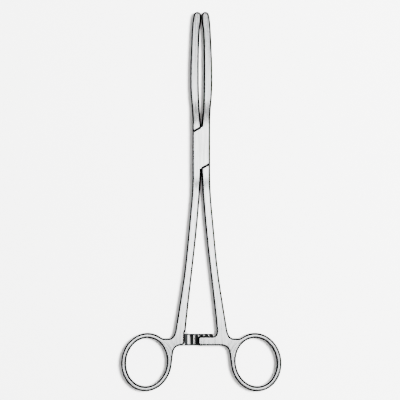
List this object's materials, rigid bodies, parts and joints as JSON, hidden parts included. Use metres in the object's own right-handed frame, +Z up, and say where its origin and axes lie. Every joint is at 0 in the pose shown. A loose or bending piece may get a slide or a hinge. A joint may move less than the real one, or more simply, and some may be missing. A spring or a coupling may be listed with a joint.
{
  "type": "tubing forceps",
  "caption": "Ring-handled tubing forceps with smooth bowed jaws, a box lock and a ratchet, for pinching tubing shut.",
  "frame": {"origin": "on the joint pin's axis, at the plane of the box lock's flat underside, which the forceps lie on", "axes": "+Y from the finger rings to the jaw tips, +X to the right and +Z up through the thickness, seen with the jaws away and the box side's ratchet bar below"},
  "size_m": [0.086, 0.203, 0.0062],
  "materials": {
    "satin_steel": "fine satin polish over the whole forging",
    "pin_steel": "ground flush with the cheeks and polished"
  },
  "bodies": {
    "box_side": {"box_arm": "satin_steel", "joint_pin": "pin_steel"},
    "tenon_side": {"tenon_arm": "satin_steel"}
  },
  "joints": [
    {"name": "box_lock", "type": "hinge", "parent": "box_side", "child": "tenon_side", "pos_m": [0, 0, 0.0031], "axis": [0, 0, 1], "range_deg": [0, 55]}
  ]
}
